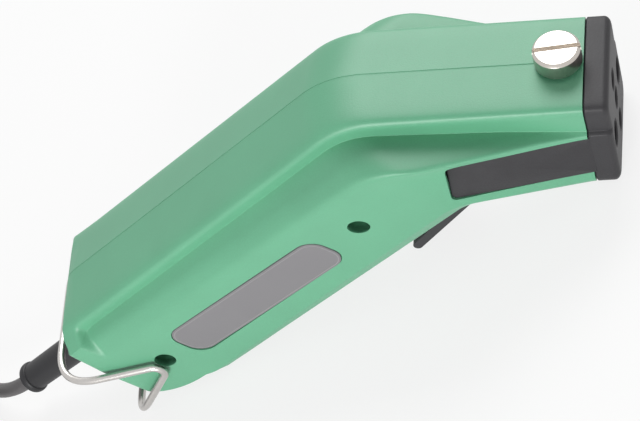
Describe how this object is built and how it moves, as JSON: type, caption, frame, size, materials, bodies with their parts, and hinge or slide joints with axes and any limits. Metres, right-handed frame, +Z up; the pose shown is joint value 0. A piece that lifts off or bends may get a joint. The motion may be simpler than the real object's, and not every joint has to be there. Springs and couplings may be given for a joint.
{
  "type": "electric hot knife",
  "caption": "Hand-held electric hot knife: bent green housing with a trigger, black nose with two blade sockets and clamping screws, wire hanging loop and coiled mains cord.",
  "frame": {"origin": "On the floor at the middle of the tool's own box, without the cord: the tool rests on its nose's lower edge and the hanging loop's lower bar.", "axes": "+X points from the cord end to the nose, +Y to the tool's left seen from behind, +Z up."},
  "size_m": [0.5451, 0.0944, 0.0881],
  "materials": {
    "green_shell": "satin moulded, light green",
    "black_plastic": "fine textured black",
    "trigger_black": "smooth black",
    "grey_plate": "satin grey, blank",
    "nickel": "nickel plated",
    "steel": "zinc plated",
    "bright_wire": "bright drawn wire",
    "brass": "turned",
    "copper": "copper",
    "core_iron": "laminated steel",
    "insulator": "phenolic, cream",
    "black_rubber": "matt dark grey"
  },
  "bodies": {
    "housing": {"housing_right": "green_shell", "housing_left": "green_shell", "nose_cap": "black_plastic", "rating_plate": "grey_plate", "housing_screws": "steel", "electrode_upper": "brass", "electrode_lower": "brass", "insulator_carrier": "insulator", "secondary_bars": "copper", "transformer_core": "core_iron", "core_bracket": "steel", "coil_bobbin": "insulator", "primary_winding": "copper", "thermal_cutout": "black_plastic", "terminal_block": "insulator", "switch_leads": "black_rubber", "switch_body": "black_plastic", "trigger_pin": "steel", "trigger_spring": "steel", "cord_clamp": "black_plastic", "cord_clamp_screws": "steel", "strain_relief": "black_rubber", "cord": "black_rubber", "cord_coil": "black_rubber", "cord_tie": "black_plastic", "plug_body": "black_rubber", "plug_pins": "nickel"},
    "trigger": {"trigger_lever": "trigger_black"},
    "plunger": {"switch_plunger": "insulator"},
    "pad_upper": {"clamp_pad_upper": "brass"},
    "screw_upper": {"clamp_screw_upper": "nickel"},
    "pad_lower": {"clamp_pad_lower": "brass"},
    "screw_lower": {"clamp_screw_lower": "nickel"},
    "bail": {"hanging_bail": "bright_wire"}
  },
  "joints": [
    {"name": "trigger_hinge", "type": "hinge", "parent": "housing", "child": "trigger", "pos_m": [0.07578, 0, 0.03674], "axis": [0, 1, 0], "range_deg": [0, 9], "stiffness_Nm_per_rad": 0.5, "springref_deg": -11.46, "deforming": ["trigger_spring"]},
    {"name": "plunger_slide", "type": "slide", "parent": "housing", "child": "plunger", "axis": [-0.1865, 0, 0.9824], "range_m": [0, 0.0032]},
    {"name": "pad_upper_slide", "type": "slide", "parent": "housing", "child": "pad_upper", "axis": [0.5113, 0, 0.8594], "range_m": [-0.0008, 0]},
    {"name": "screw_upper_turn", "type": "hinge", "parent": "pad_upper", "child": "screw_upper", "pos_m": [0.14134, 0, 0.0468], "axis": [0.5113, 0, 0.8594], "range_deg": [-360, 0]},
    {"name": "pad_lower_slide", "type": "slide", "parent": "housing", "child": "pad_lower", "axis": [-0.5113, 0, -0.8594], "range_m": [-0.0008, 0]},
    {"name": "screw_lower_turn", "type": "hinge", "parent": "pad_lower", "child": "screw_lower", "pos_m": [0.11884, 0, 0.00899], "axis": [-0.5113, 0, -0.8594], "range_deg": [-360, 0]},
    {"name": "bail_hinge", "type": "hinge", "parent": "housing", "child": "bail", "pos_m": [-0.0765, 0, 0.01587], "axis": [0, 1, 0], "range_deg": [-6, 18]}
  ],
  "couplings": [
    {"joint": "plunger_slide", "follows": "trigger_hinge", "m_per_rad": 0.0199},
    {"joint": "pad_upper_slide", "follows": "screw_upper_turn", "m_per_rad": 0.00012732},
    {"joint": "pad_lower_slide", "follows": "screw_lower_turn", "m_per_rad": 0.00012732}
  ]
}
